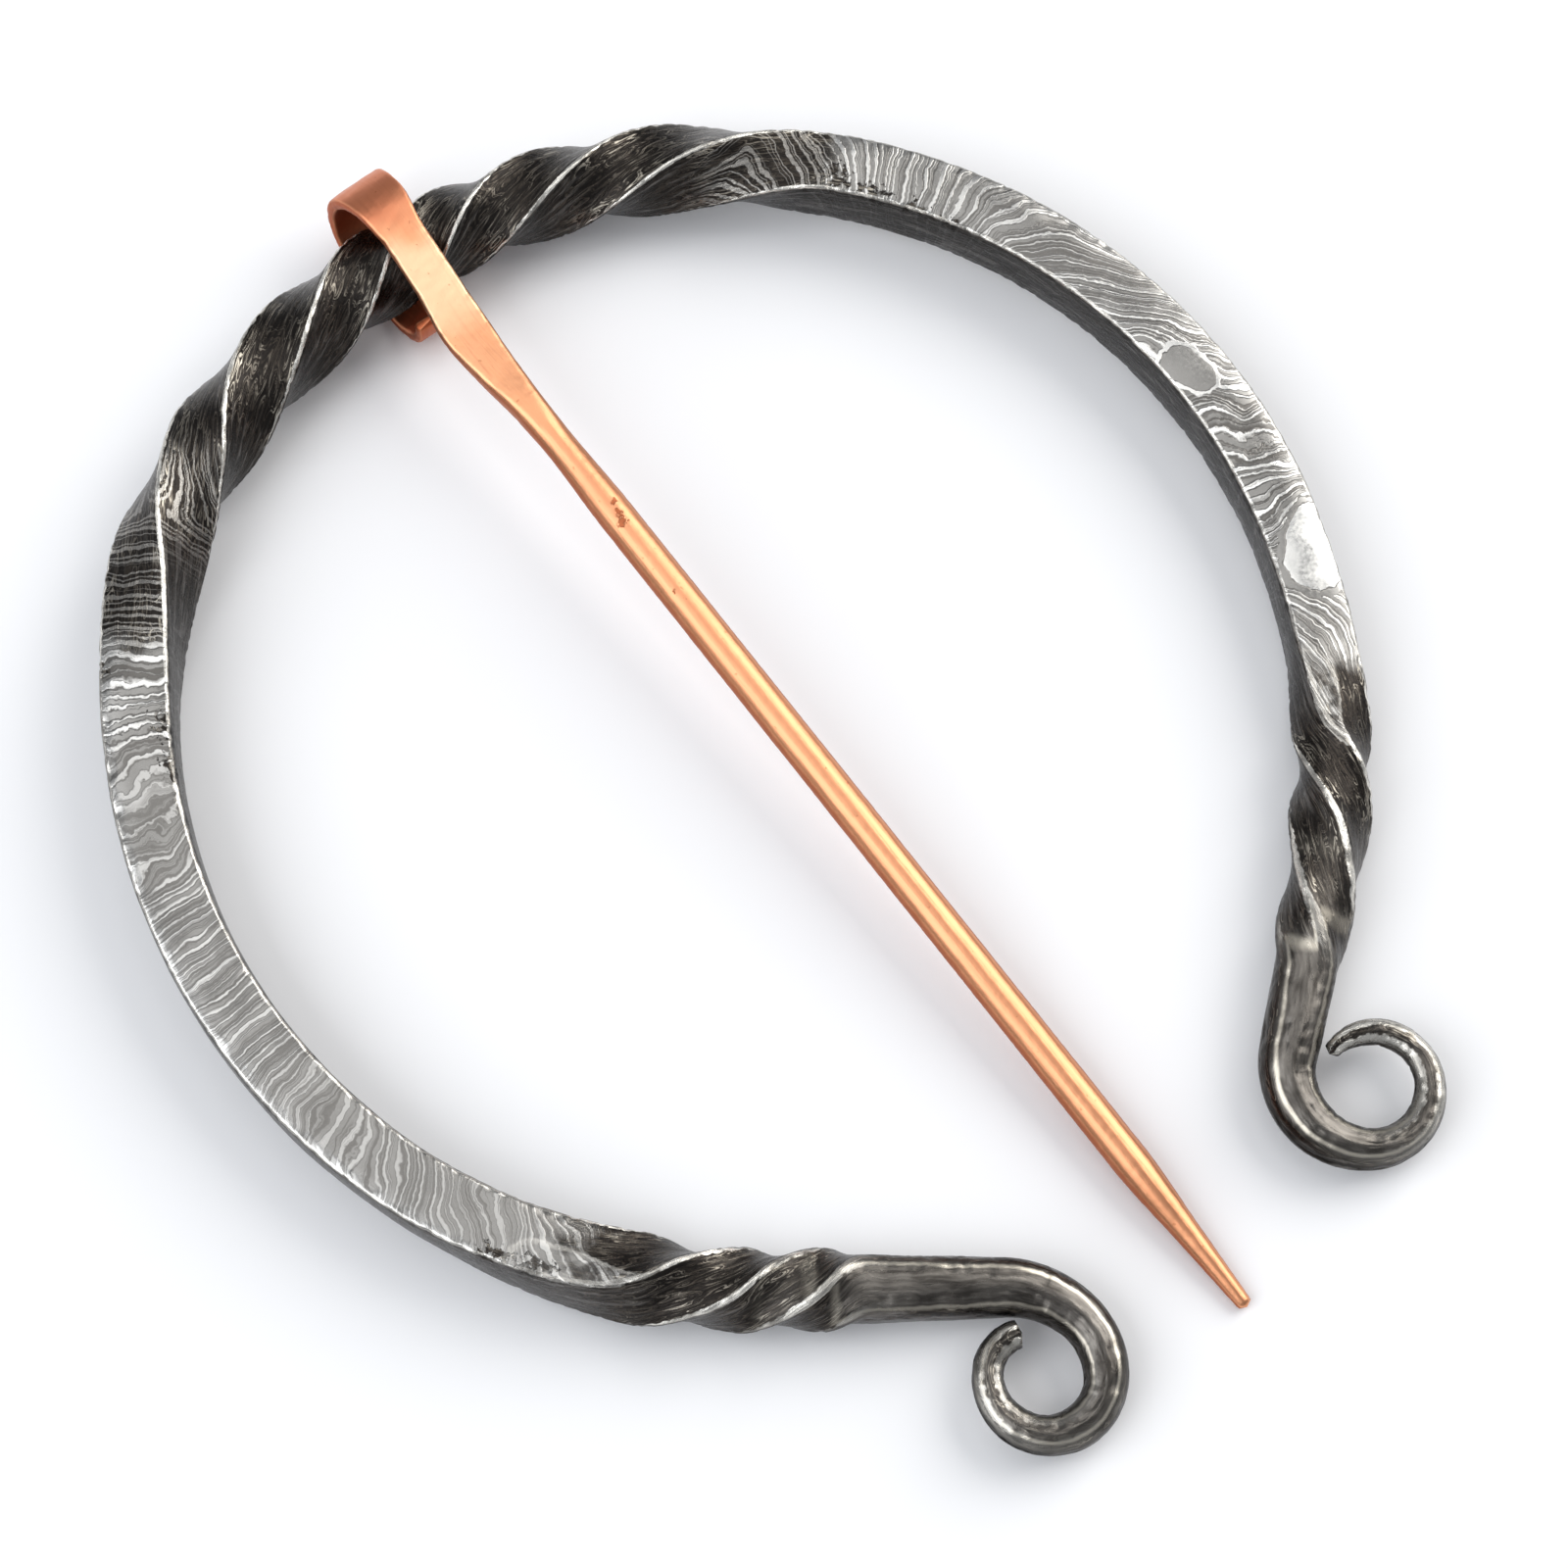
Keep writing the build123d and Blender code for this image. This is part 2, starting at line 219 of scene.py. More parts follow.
def blend(rows, along, column):
    """Value of a table's column between its rows, smooth and without overshoot."""
    places = [row.along for row in rows]
    values = [getattr(row, column) for row in rows]
    steps = [(b - a) / (q - p) for a, b, p, q in zip(values, values[1:], places, places[1:])]
    slopes = [steps[0]]
    for before, after in zip(steps, steps[1:]):
        same_way = before * after > 0
        slopes.append(2 * before * after / (before + after) if same_way else 0.0)
    slopes.append(steps[-1])
    index = sum(1 for place in places[1:-1] if place <= along)
    width = places[index + 1] - places[index]
    part = min(max((along - places[index]) / width, 0.0), 1.0)
    rise = (3 - 2 * part) * part * part
    ease_in = part * (1 - part) ** 2 * width * slopes[index]
    ease_out = part * part * (1 - part) * width * slopes[index + 1]
    return values[index] + rise * (values[index + 1] - values[index]) + ease_in - ease_out


def domed(reach):
    """Share of its size that a section keeps at a distance from the blunt end of a bar."""
    return max(sqrt(1 - min(max(1 - reach / tip_dome, 0.0), 1.0) ** 2), tip_share)


# One place on the middle line of a bar, with its section's own directions and half sizes
Place = namedtuple("Place", "middle across over beside half_across half_over corner facts")


def hoop_places():
    """The bar from the tip of the lower curl, under the pin, to the tip of the right curl."""
    found = []
    left_length, right_length = length_of(left_arm), length_of(right_arm)
    count = round((left_length + right_length) / bar_step)
    for index in range(count + 1):
        along = -left_length + (left_length + right_length) * index / count
        if along < 0:
            bends, rows, looks, length = left_arm, left_stations, left_finish, left_length
            x, y, heading = place_on(bends, seat_heading + 180, 1, -along)
            heading -= 180
        else:
            bends, rows, looks, length = right_arm, right_stations, right_finish, right_length
            x, y, heading = place_on(bends, seat_heading, -1, along)
        share = min(abs(along) / length, 1.0)
        twist = blend(rows, share, "twist")
        roll = radians(seat_turn + (twist if along < 0 else -twist))
        side = bar * blend(rows, share, "side")
        rounded = blend(rows, share, "round")
        corner = bar_corner * (1 - rounded) + round_share * side * rounded
        kept = domed(length - abs(along))
        outward = Vector((-sin(radians(heading)), cos(radians(heading)), 0))
        up = Vector((0, 0, 1))
        facts = {"along": along}
        for column in Finish._fields[1:]:
            facts[column] = blend(looks, share, column)
        across = outward * cos(roll) + up * sin(roll)
        over = up * cos(roll) - outward * sin(roll)
        half = side / 2 * kept
        middle = Vector((x, y, 0))
        found.append(Place(middle, across, over, outward, half, half, corner * kept, facts))
    return found


# The way that the pin's shaft points
shaft_way = Vector(frame["record"]["mounts"][0]["axis"])


def leant(places):
    """The hoop tipped about the line across the pin until its far side meets the surface."""
    way = shaft_way.to_2d().normalized()
    tips = []
    for place in places:
        reach = place.middle.to_2d().dot(way)
        if reach > hoop_radius:
            flat = place.half_across - place.corner
            depth = flat * (abs(place.across.z) + abs(place.over.z)) + place.corner
            tips.append(asin((seat.z - depth) / reach))
    tilt = Matrix.Rotation(min(tips), 3, Vector((-way.y, way.x, 0)))
    return [
        place._replace(
            middle=seat + tilt @ place.middle,
            across=tilt @ place.across,
            over=tilt @ place.over,
            beside=tilt @ place.beside,
        )
        for place in places
    ]


def path_mesh(name, places):
    """The middle line of a bar as a row of edges, which carries what its section needs."""
    mesh = bpy.data.meshes.new(name)
    edges = [(index, index + 1) for index in range(len(places) - 1)]
    mesh.from_pydata([place.middle for place in places], edges, [])
    for field in ("middle", "across", "over", "beside"):
        attribute = mesh.attributes.new(field, "FLOAT_VECTOR", "POINT")
        attribute.data.foreach_set("vector", [v for p in places for v in getattr(p, field)])
    for field in ("half_across", "half_over", "corner"):
        attribute = mesh.attributes.new(field, "FLOAT", "POINT")
        attribute.data.foreach_set("value", [getattr(place, field) for place in places])
    for fact in places[0].facts:
        attribute = mesh.attributes.new(fact, "FLOAT", "POINT")
        attribute.data.foreach_set("value", [place.facts[fact] for place in places])
    return bpy.data.objects.new(name, mesh)


def section_outline(name, flat_points, corner_points):
    """A rounded square: each point says where its flat or corner lies and which way it faces."""
    flats, facings = [], []
    for quarter in range(4):
        turn = Matrix.Rotation(pi / 2 * quarter, 2)
        for step in range(1, flat_points + 1):
            flats.append(turn @ Vector((1, 2 * step / (flat_points + 1) - 1)))
            facings.append(turn @ Vector((1, 0)))
        for step in range(corner_points + 1):
            angle = pi / 2 * step / corner_points
            flats.append(turn @ Vector((1, 1)))
            facings.append(turn @ Vector((cos(angle), sin(angle))))
    mesh = bpy.data.meshes.new(name)
    count = len(flats)
    edges = [(index, (index + 1) % count) for index in range(count)]
    mesh.from_pydata([(f + g).to_3d() for f, g in zip(flats, facings)], edges, [])
    for field, values in (("flat", flats), ("facing", facings)):
        attribute = mesh.attributes.new(field, "FLOAT_VECTOR", "POINT")
        attribute.data.foreach_set("vector", [c for v in values for c in (*v, 0.0)])
    return bpy.data.objects.new(name, mesh)


class Bench:
    """Puts nodes into one tree and joins their sockets."""

    def __init__(self, tree):
        self.tree = tree

    def put(self, kind, inputs=None, **settings):
        node = self.tree.nodes.new(kind)
        for name, value in settings.items():
            setattr(node, name, value)
        for key, value in (inputs or {}).items():
            if isinstance(value, bpy.types.NodeSocket):
                self.tree.links.new(value, node.inputs[key])
            else:
                node.inputs[key].default_value = value
        return node

    def maths(self, operation, *values):
        settings = {"operation": operation}
        return self.put("ShaderNodeMath", dict(enumerate(values)), **settings).outputs[0]

    def times(self, first, second):
        return self.maths("MULTIPLY", first, second)

    def times_plus(self, first, second, third):
        return self.maths("MULTIPLY_ADD", first, second, third)

    def divided(self, first, second):
        return self.maths("DIVIDE", first, second)

    def plus(self, first, second):
        return self.maths("ADD", first, second)

    def minus(self, first, second):
        return self.maths("SUBTRACT", first, second)

    def larger(self, first, second):
        return self.maths("MAXIMUM", first, second)

    def size_of(self, value):
        return self.maths("ABSOLUTE", value)

    def vector_maths(self, operation, *values):
        settings = {"operation": operation}
        made = self.put("ShaderNodeVectorMath", dict(enumerate(values)), **settings)
        return made.outputs["Value" if operation in ("LENGTH", "DOT_PRODUCT") else "Vector"]

    def scaled(self, vector, share):
        inputs = {"Vector": vector, "Scale": share}
        return self.put("ShaderNodeVectorMath", inputs, operation="SCALE").outputs["Vector"]

    def split(self, vector):
        return self.put("ShaderNodeSeparateXYZ", {"Vector": vector}).outputs

    def joined(self, x, y, z):
        return self.put("ShaderNodeCombineXYZ", {"X": x, "Y": y, "Z": z}).outputs["Vector"]

    def noise(self, place, size, detail=2.0, **settings):
        """Soft noise about zero, whose lumps are about one size across."""
        key = "W" if settings.get("noise_dimensions") == "1D" else "Vector"
        inputs = {key: place, "Scale": 1 / size, "Detail": detail}
        made = self.put("ShaderNodeTexNoise", inputs, **settings)
        return self.minus(made.outputs[0], 0.5)

    def ease(self, value, low, high, start=0.0, end=1.0):
        """A smooth step of a value from start to end between low and high."""
        inputs = {"Value": value, 1: low, 2: high, 3: start, 4: end}
        settings = {"interpolation_type": "SMOOTHSTEP"}
        return self.put("ShaderNodeMapRange", inputs, **settings).outputs[0]


# Where the layers bulge up to the ground face they show as rings: the place along the bar
# and in its section, how far the bulge reaches, how many layers it lifts, and how strongly
# its middle is filled with the bright steel (above zero) or with the grey one (below zero)
Knot = namedtuple("Knot", "along across over reach layers tone")
knots = (
    Knot(0.0390, 0.0007, 0.002, 0.0008, 0.8, 0.0),
    Knot(0.0411, 0.0002, 0.002, 0.0008, -0.8, 0.0),
    Knot(0.0478, 0.0000, 0.002, 0.0010, 0.6, 0.0),
    Knot(0.0524, -0.0012, 0.002, 0.0011, 0.8, 0.0),
    Knot(0.0553, -0.0008, 0.002, 0.0012, 0.6, -1.2),
    Knot(0.0569, -0.0003, 0.002, 0.0009, 0.6, -1.2),
    Knot(0.0598, 0.0007, 0.002, 0.0011, -1.0, 0.0),
    Knot(0.0646, 0.0013, 0.002, 0.0009, -0.8, 0.0),
    Knot(0.0686, 0.0014, 0.002, 0.0014, 0.4, 1.6),
    Knot(0.0706, 0.0006, 0.002, 0.0017, 0.4, 1.6),
    Knot(-0.0392, -0.002, 0.0002, 0.0026, 0.3, 0.0),
    Knot(-0.0440, -0.002, 0.0004, 0.0024, 0.3, 0.0),
    Knot(-0.0463, -0.002, 0.0018, 0.0008, 0.8, 0.0),
    Knot(-0.0600, -0.002, -0.0006, 0.0022, -0.8, 0.0),
    Knot(-0.0690, -0.002, 0.0008, 0.0022, 0.8, 0.0),
)
# Black scale that the grinding missed, along the edges of the plain stretches
Patch = namedtuple("Patch", "along across over reach")
scale_patches = (
    Patch(-0.0365, -0.002, -0.0020, 0.0016),
    Patch(-0.0395, -0.002, -0.0021, 0.0014),
    Patch(-0.0330, -0.002, 0.0022, 0.0010),
    Patch(0.0290, -0.0010, 0.002, 0.0016),
    Patch(0.0320, -0.0020, 0.002, 0.0015),
    Patch(0.0350, -0.0023, 0.002, 0.0014),
    Patch(0.0375, -0.0024, 0.002, 0.0012),
    Patch(-0.0760, -0.002, 0.0021, 0.0014),
    Patch(-0.0790, -0.002, 0.0019, 0.0018),
)


def bulge_sum(bench, place, rows, height):
    """Sum of round bulges at the places of a table's rows."""
    total = 0.0
    for row in rows:
        middle = (row.along, row.across, row.over)
        away = bench.vector_maths("LENGTH", bench.vector_maths("SUBTRACT", place, middle))
        near = bench.divided(away, row.reach)
        fall = bench.maths("EXPONENT", bench.times(near, bench.times(near, -1.0)))
        total = bench.times_plus(fall, height(row), total)
    return total


# The sizes of relief that each bar gives, and those that both share: from which breadth a face
# is fully crowned and from which corner it takes its whole relief, how far a nick reaches in
# from the edge, how dents and pits are shaped, and how soft and how wide the ground rim is
relief_sizes = (
    "Crown", "Lump Height", "Lump Size", "Dent Depth", "Dent Size", "Pit Depth", "Pit Size",
    "Nick Depth",
)
full_face = 0.0004
full_corner = 0.0002
nick_reach = 0.0003
drawn_out = (0.45, 1.0, 1.0)
dent_softness = 0.35
dent_level = 0.4
pits_of_hammer = 0.5
soft_rim = 0.00008
ground_rim = (-0.00003, 0.00006)


def forged_bar_tree(name, bulges):
    """Geometry Nodes that skin a middle line with its hammered section."""
    tree = bpy.data.node_groups.new(name, "GeometryNodeTree")
    kinds = {"Middle Line": "Geometry", "Section": "Object", "Metal": "Material"}
    kinds.update(dict.fromkeys(relief_sizes, "Float"))
    for socket, kind in kinds.items():
        tree.interface.new_socket(socket, in_out="INPUT", socket_type="NodeSocket" + kind)
    tree.interface.new_socket("Bar", in_out="OUTPUT", socket_type="NodeSocketGeometry")
    bench = Bench(tree)
    given = bench.put("NodeGroupInput").outputs

    def carried(field, data_type="FLOAT"):
        inputs = {"Name": field}
        return bench.put("GeometryNodeInputNamedAttribute", inputs, data_type=data_type).outputs[0]

    def stored(geometry, field, value, data_type="FLOAT"):
        inputs = {"Geometry": geometry, "Name": field, "Value": value}
        settings = {"data_type": data_type, "domain": "POINT"}
        return bench.put("GeometryNodeStoreNamedAttribute", inputs, **settings).outputs[0]

    outline = bench.put("GeometryNodeObjectInfo", {"Object": given["Section"]})
    line = bench.put("GeometryNodeMeshToCurve", {"Mesh": given["Middle Line"]}).outputs[0]
    ring = bench.put("GeometryNodeMeshToCurve", {"Mesh": outline.outputs["Geometry"]}).outputs[0]
    inputs = {"Curve": line, "Profile Curve": ring, "Fill Caps": True}
    skin = bench.put("GeometryNodeCurveToMesh", inputs).outputs[0]

    flat = bench.split(carried("flat", "FLOAT_VECTOR"))
    facing = bench.split(carried("facing", "FLOAT_VECTOR"))
    across, over = carried("across", "FLOAT_VECTOR"), carried("over", "FLOAT_VECTOR")
    corner = carried("corner")
    flat_across = bench.minus(carried("half_across"), corner)
    flat_over = bench.minus(carried("half_over"), corner)
    x = bench.times_plus(facing["X"], corner, bench.times(flat["X"], flat_across))
    y = bench.times_plus(facing["Y"], corner, bench.times(flat["Y"], flat_over))
    place = bench.joined(carried("along"), x, y)
    turned = bench.scaled(across, facing["X"]), bench.scaled(over, facing["Y"])
    outward = bench.vector_maths("ADD", *turned)
    gap_across = bench.times(bench.minus(1.0, bench.size_of(flat["X"])), flat_across)
    gap_over = bench.times(bench.minus(1.0, bench.size_of(flat["Y"])), flat_over)
    edge_gap = bench.larger(gap_across, gap_over)

    # Each face is a little crowned, lumpy, dented by the hammer and pitted by scale
    inside = bench.maths("POWER", bench.times(flat["X"], flat["Y"]), 2.0)
    breadth = bench.ease(bench.larger(flat_across, flat_over), 0.0, full_face)
    crown = bench.times(bench.minus(1.0, inside), given["Crown"])
    crown = bench.times(crown, breadth)
    lump_scale = bench.divided(1.0, given["Lump Size"])
    lumps = bench.put("ShaderNodeTexNoise", {"Vector": place, "Scale": lump_scale, "Detail": 1.0})
    lump = bench.times(bench.minus(lumps.outputs[0], 0.5), given["Lump Height"])
    dent_scale = bench.divided(1.0, given["Dent Size"])
    longer = bench.vector_maths("MULTIPLY", place, drawn_out)
    inputs = {"Vector": longer, "Scale": dent_scale, "Smoothness": dent_softness}
    dents = bench.put("ShaderNodeTexVoronoi", inputs, feature="SMOOTH_F1").outputs["Distance"]
    dent_depth = bench.times(given["Dent Depth"], carried("hammer"))
    dent = bench.times(bench.minus(dents, dent_level), dent_depth)
    pit_scale = bench.divided(1.0, given["Pit Size"])
    pits = bench.put("ShaderNodeTexNoise", {"Vector": place, "Scale": pit_scale, "Detail": 2.0})
    scale = bulge_sum(bench, place, bulges["scale"], lambda row: 1.0)
    pitted = bench.larger(scale, bench.times(carried("hammer"), pits_of_hammer))
    pit = bench.times(bench.ease(pits.outputs[0], 0.5, 0.62), given["Pit Depth"])
    pit = bench.times(pit, pitted)
    nick = bench.times(bench.ease(pits.outputs[0], 0.45, 0.7), given["Nick Depth"])
    nick = bench.times(nick, bench.ease(edge_gap, 0.0, nick_reach, 1.0, 0.0))
    relief = bench.plus(bench.plus(crown, lump), dent)
    relief = bench.minus(relief, bench.plus(pit, nick))
    relief = bench.times(relief, bench.ease(corner, 0.0, full_corner))

    offset = bench.vector_maths("ADD", bench.scaled(across, x), bench.scaled(over, y))
    middle = carried("middle", "FLOAT_VECTOR")
    spot = bench.vector_maths("ADD", middle, offset)
    spot = bench.vector_maths("ADD", spot, bench.scaled(outward, relief))

    # The top is ground off level at its own height, and nothing reaches below the surface
    spot = bench.split(spot)
    plane = bench.plus(bench.split(middle)["Z"], carried("ground"))
    above = bench.minus(spot["Z"], plane)
    level = bench.larger(bench.maths("SMOOTH_MIN", spot["Z"], plane, soft_rim), 0.0)
    spot = bench.joined(spot["X"], spot["Y"], level)
    bar_mesh = bench.put("GeometryNodeSetPosition", {"Geometry": skin, "Position": spot}).outputs[0]
    bar_mesh = stored(bar_mesh, "bar_place", place, "FLOAT_VECTOR")

    # What the material reads at each point
    beside = carried("beside", "FLOAT_VECTOR")
    crest = bench.times(bench.times(facing["X"], facing["Y"]), 2.0)
    facts = {
        "ground_flat": bench.ease(above, *ground_rim),
        "edge_gap": edge_gap,
        "sideways": bench.vector_maths("DOT_PRODUCT", outward, beside),
        "outer": bench.vector_maths("DOT_PRODUCT", offset, beside),
        "crest": bench.size_of(crest),
        "upward": bench.vector_maths("DOT_PRODUCT", outward, (0, 0, 1)),
        "scale": scale,
    }
    if bulges["knots"]:
        slope = bench.times(bench.plus(x, y), carried("slant"))
        layer = bench.plus(carried("layer"), bench.divided(slope, carried("pitch")))
        lifted = bulge_sum(bench, place, bulges["knots"], lambda row: row.layers)
        facts["layer"] = bench.plus(layer, lifted)
        facts["island"] = bulge_sum(bench, place, bulges["knots"], lambda row: row.tone)
    for field, value in facts.items():
        bar_mesh = stored(bar_mesh, field, value)
    bar_mesh = bench.put("GeometryNodeSetShadeSmooth", {"Geometry": bar_mesh}).outputs[0]
    inputs = {"Geometry": bar_mesh, "Material": given["Metal"]}
    bar_mesh = bench.put("GeometryNodeSetMaterial", inputs).outputs[0]
    bar_mesh = bench.put("GeometryNodeRealizeInstances", {"Geometry": bar_mesh}).outputs[0]
    bench.put("NodeGroupOutput", {"Bar": bar_mesh})
    return tree


# What only the forging needs, and no material reads
used_up = (
    "middle", "across", "over", "beside", "flat", "facing", "half_across", "half_over",
    "hammer", "ground", "pitch", "slant",
)


def forge(name, tree, places, outline, metal, sizes):
    """Runs the forging tree on a middle line and keeps its result as a plain mesh."""
    line = path_mesh(name, places)
    bpy.context.scene.collection.objects.link(line)
    modifier = line.modifiers.new("forging", "NODES")
    modifier.node_group = tree
    sockets = {item.name: item.identifier for item in tree.interface.items_tree}
    for socket, value in {"Section": outline, "Metal": metal, **sizes}.items():
        modifier[sockets[socket]] = value
    graph = bpy.context.evaluated_depsgraph_get()
    mesh = bpy.data.meshes.new_from_object(
        line.evaluated_get(graph), preserve_all_data_layers=True, depsgraph=graph
    )
    line.modifiers.clear()
    line.data = mesh
    for field in used_up:
        if field in mesh.attributes:
            mesh.attributes.remove(mesh.attributes[field])
    mesh.name = name
    return line


def shader_group(name, inputs, output):
    """A shader node group with its sockets, a bench on its tree and what it is given."""
    tree = bpy.data.node_groups.new(name, "ShaderNodeTree")
    for socket, kind in inputs.items():
        tree.interface.new_socket(socket, in_out="INPUT", socket_type="NodeSocket" + kind)
    tree.interface.new_socket(output, in_out="OUTPUT", socket_type="NodeSocketFloat")
    bench = Bench(tree)
    return tree, bench, bench.put("NodeGroupInput").outputs


def worn_and_highlit_edge_group():
    """Mask of an edge painted bright, partly as wear from handling and partly as painted highlight,
    broken up along its length.
    """
    inputs = {"Crest": "Float", "Place": "Vector", "Width": "Float", "Breakup": "Float"}
    tree, bench, given = shader_group("worn_and_highlit_edge", inputs, "Mask")
    ragged = bench.times(bench.noise(given["Place"], 0.0005, 3.0), given["Breakup"])
    near = bench.ease(given["Crest"], 0.0, 0.30)
    raised = bench.times_plus(ragged, near, given["Crest"])
    narrow = bench.minus(1.0, given["Width"])
    full = bench.times_plus(given["Width"], 0.5, narrow)
    bench.put("NodeGroupOutput", {"Mask": bench.ease(raised, narrow, full)})
    return tree


def drawn_streaks_group():
    """Streaks that run along the bar, as hammering and drawing leave them."""
    inputs = {"Place": "Vector", "Length": "Float", "Width": "Float", "Meander": "Float"}
    tree, bench, given = shader_group("drawn_streaks", inputs, "Streaks")
    place = bench.split(given["Place"])
    drift = bench.times(bench.noise(given["Place"], 0.0022, 2.0), given["Meander"])
    along = bench.divided(place["X"], given["Length"])
    beside = bench.plus(bench.divided(place["Y"], given["Width"]), drift)
    above = bench.plus(bench.divided(place["Z"], given["Width"]), drift)
    streaks = bench.noise(bench.joined(along, beside, above), 1.0, 3.0)
    bench.put("NodeGroupOutput", {"Streaks": streaks})
    return tree


worn_and_highlit_edge = worn_and_highlit_edge_group()
drawn_streaks = drawn_streaks_group()


def grouped(bench, group, inputs):
    return bench.put("ShaderNodeGroup", inputs, node_tree=group).outputs[0]


def material_bench(name):
    """A new material with its nodes cleared, and a bench on its tree."""
    material = bpy.data.materials.new(name)
    material.use_nodes = True
    material.node_tree.nodes.clear()
    return material, Bench(material.node_tree)


def dressed(bench, colour, metallic, rough, height=None):
    """Ends a material with its surface and, where a height is given, its bump."""
    inputs = {"Base Color": colour, "Metallic": metallic, "Roughness": rough}
    if height is not None:
        bump = bench.put("ShaderNodeBump", {"Height": height, "Distance": 1.0, "Strength": 1.0})
        inputs["Normal"] = bump.outputs[0]
    body = bench.put("ShaderNodeBsdfPrincipled", inputs)
    bench.put("ShaderNodeOutputMaterial", {"Surface": body.outputs[0]})


def attribute_of(bench, field, output="Fac"):
    settings = {"attribute_name": field, "attribute_type": "GEOMETRY"}
    return bench.put("ShaderNodeAttribute", **settings).outputs[output]


def mixed(bench, share, first, second):
    """A colour between two, each a colour or a socket."""
    inputs = {"Factor": share, 6: first, 7: second}
    settings = {"data_type": "RGBA"}
    return bench.put("ShaderNodeMix", inputs, **settings).outputs[2]


def patterned_steel():
    """Two etched steels in wavy layers, black oxide in the twists, ridges bright partly from wear
    and partly as painted highlight, and painted glints, reflection and shade.
    """
    carbon_steel = (0.205, 0.198, 0.187, 1)
    pale_carbon = (0.34, 0.332, 0.316, 1)
    nickel_steel = (0.82, 0.81, 0.78, 1)
    etched_line = (0.10, 0.093, 0.085, 1)
    oxide = (0.024, 0.021, 0.019, 1)
    brown_oxide = (0.060, 0.050, 0.041, 1)
    painted_shade_black = (0.008, 0.007, 0.006, 1)
    filed_line = (0.17, 0.16, 0.15, 1)
    layer_line = (0.42, 0.40, 0.37, 1)
    painted_highlight_grey = (0.62, 0.57, 0.48, 1)
    dull_satin = (0.060, 0.054, 0.048, 1)
    satin = (0.27, 0.25, 0.225, 1)
    rubbed_and_highlight = (0.90, 0.87, 0.80, 1)
    material, bench = material_bench("patterned_steel")
    place = attribute_of(bench, "bar_place", "Vector")
    upward = attribute_of(bench, "upward")
    contrast = attribute_of(bench, "contrast")
    grain = bench.noise(place, 0.00022, 3.0)
    cloud = bench.noise(place, 0.0030, 2.0)
    inputs = {"Place": place, "Length": 0.0040, "Width": 0.00030, "Meander": 2.5}
    streaks = grouped(bench, drawn_streaks, inputs)
    shape = bench.vector_maths("MULTIPLY", place, (0.22, 1.0, 1.0))
    contours = bench.times(bench.noise(shape, 0.0010, 1.5), 26.0)
    contours = bench.noise(contours, 0.5, 1.5, noise_dimensions="1D")
    inputs = {"Place": place, "Length": 0.0018, "Width": 0.00013, "Meander": 3.0}
    fibres = bench.times_plus(grouped(bench, drawn_streaks, inputs), 0.7, contours)

    # The layers cross the bar and wander, so the etched face shows wavy lines and rings
    swirl = bench.times(attribute_of(bench, "swirl"), 5.5)
    wander = bench.times(bench.noise(place, 0.0040, 1.0), swirl)
    waver = bench.times(bench.noise(place, 0.0011, 2.0), 0.9)
    jag = bench.times(bench.noise(place, 0.00028, 2.0), 0.22)
    shift = bench.plus(bench.plus(wander, waver), jag)
    layer = bench.plus(shift, attribute_of(bench, "layer"))
    band = bench.noise(layer, 0.52, 1.5, noise_dimensions="1D")
    island = attribute_of(bench, "island")
    ragged = bench.times(bench.noise(place, 0.0007, 2.0), 0.35)
    level = bench.plus(bench.size_of(island), ragged)
    inside, ringed = bench.ease(level, 0.42, 0.50), bench.ease(level, 0.20, 0.28)
    tone = bench.minus(bench.times(inside, 0.24), 0.10)
    tone = bench.times(tone, bench.maths("SIGN", island))
    share = {"Factor": ringed, 2: band, 3: tone}
    band = bench.put("ShaderNodeMix", share, data_type="FLOAT").outputs[0]
    nickel = bench.ease(band, 0.0, 0.14)
    border = bench.ease(bench.size_of(band), 0.0, 0.05, 0.85, 0.0)
    rim = bench.size_of(bench.minus(level, 0.45))
    border = bench.larger(border, bench.ease(rim, 0.0, 0.03, 0.8, 0.0))
    leaf = bench.size_of(bench.noise(layer, 0.31, 1.0, noise_dimensions="1D"))
    crowded = bench.ease(bench.noise(place, 0.0024, 1.0), -0.08, 0.08)
    crowded = bench.times(crowded, bench.minus(1.0, ringed))
    leaf = bench.times(bench.ease(leaf, 0.0, 0.06, 0.75, 0.0), crowded)
    shown = bench.times_plus(contrast, 0.45, 0.55)
    border = bench.times(bench.larger(border, leaf), shown)
    tone = bench.times_plus(cloud, 0.8, bench.times(grain, 0.7))
    grey = mixed(bench, bench.plus(tone, 0.45), carbon_steel, pale_carbon)
    steel = mixed(bench, bench.times(nickel, contrast), grey, nickel_steel)
    # Painted reflection: the outer part of each top face is brightened towards the bright steel
    outer = bench.times_plus(cloud, 0.0016, attribute_of(bench, "outer"))
    painted_outer_reflection = bench.ease(outer, 0.0006, 0.0022, 0.0, 0.3)
    steel = mixed(bench, painted_outer_reflection, steel, nickel_steel)
    steel = mixed(bench, border, steel, etched_line)
